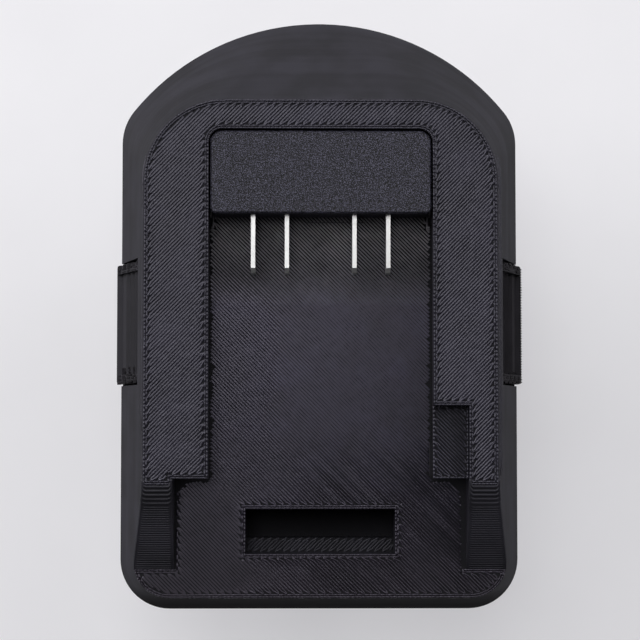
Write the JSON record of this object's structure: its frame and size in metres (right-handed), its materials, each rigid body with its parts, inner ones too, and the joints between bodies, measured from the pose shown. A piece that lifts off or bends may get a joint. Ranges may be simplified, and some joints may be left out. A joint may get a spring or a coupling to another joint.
{
  "type": "tool battery adapter",
  "caption": "Printed adapter with rail slots and blade terminals on top for a slide battery, and a latched hollow post below for a tool's battery socket.",
  "frame": {"origin": "centre of the post's end face, which the part stands on", "axes": "+Z from the post's end up to the battery side, +Y towards the domed nose, +X to the right seen from the battery side with the nose up"},
  "size_m": [0.0788, 0.1142, 0.074],
  "materials": {
    "shell_plastic": "black printed plastic, fine bead lines",
    "cover_plastic": "black printed plastic, fine bead lines",
    "post_plastic": "black printed plastic, fine layer lines",
    "block_plastic": "black plastic with a fine grained face",
    "latch_plastic": "black printed plastic",
    "blade_metal": "bright nickel plate",
    "contact_metal": "satin",
    "screw_steel": "black oxide",
    "spring_steel": "bright",
    "wire_red": "satin",
    "wire_black": "satin",
    "wire_white": "satin",
    "wire_yellow": "satin",
    "sleeve": "satin"
  },
  "bodies": {
    "housing": {"battery_shell": "shell_plastic", "base_cover": "cover_plastic", "post_tube": "post_plastic", "post_cap": "post_plastic", "terminal_block": "block_plastic", "blade_retainer": "block_plastic", "blade_negative": "blade_metal", "blade_sense_a": "blade_metal", "blade_sense_b": "blade_metal", "blade_positive": "blade_metal", "latch_spring_left": "spring_steel", "latch_spring_right": "spring_steel", "power_contact_positive": "contact_metal", "power_contact_negative": "contact_metal", "sense_contact_a": "contact_metal", "sense_contact_b": "contact_metal", "power_wire_positive": "wire_red", "power_wire_negative": "wire_black", "sense_wire_a": "wire_white", "sense_wire_b": "wire_yellow", "wire_sleeves": "sleeve", "shell_screws": "screw_steel", "post_screws": "screw_steel", "block_screws": "screw_steel", "cap_screws": "screw_steel"},
    "left_latch": {"latch_left": "latch_plastic"},
    "right_latch": {"latch_right": "latch_plastic"}
  },
  "joints": [
    {"name": "latch_left_slide", "type": "slide", "parent": "housing", "child": "left_latch", "axis": [1, 0, 0], "range_m": [0, 0.002], "stiffness_N_per_m": 1500, "springref_m": -0.002, "deforming": ["latch_spring_left"]},
    {"name": "latch_right_slide", "type": "slide", "parent": "housing", "child": "right_latch", "axis": [-1, 0, 0], "range_m": [0, 0.002], "stiffness_N_per_m": 1500, "springref_m": -0.002, "deforming": ["latch_spring_right"]}
  ]
}
